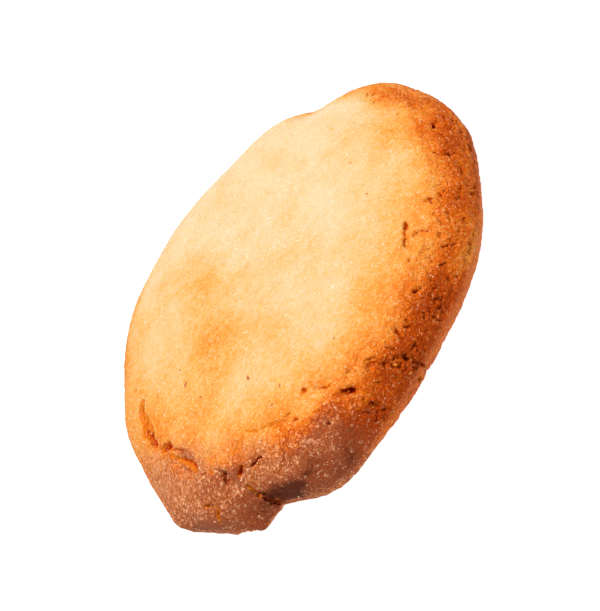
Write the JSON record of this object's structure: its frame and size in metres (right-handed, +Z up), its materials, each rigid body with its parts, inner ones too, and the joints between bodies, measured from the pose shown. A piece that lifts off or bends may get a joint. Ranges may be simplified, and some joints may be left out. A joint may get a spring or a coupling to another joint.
{
  "type": "shortbread biscuit",
  "caption": "Round hand-dropped shortbread biscuit with a flat underside, a dished pale crown, a browned wall, a cracked rim and a crumbly front.",
  "frame": {"origin": "the underside, in the middle of the biscuit's box", "axes": "+Z up from the underside through the crown, +X along the longer diameter towards the end away from the broken lobe, -Y towards the crumbly front wall"},
  "size_m": [0.0772, 0.0726, 0.0125],
  "materials": {
    "crust": "matt, finely grainy baked dough"
  },
  "bodies": {
    "root": {"biscuit": "crust"}
  },
  "joints": []
}
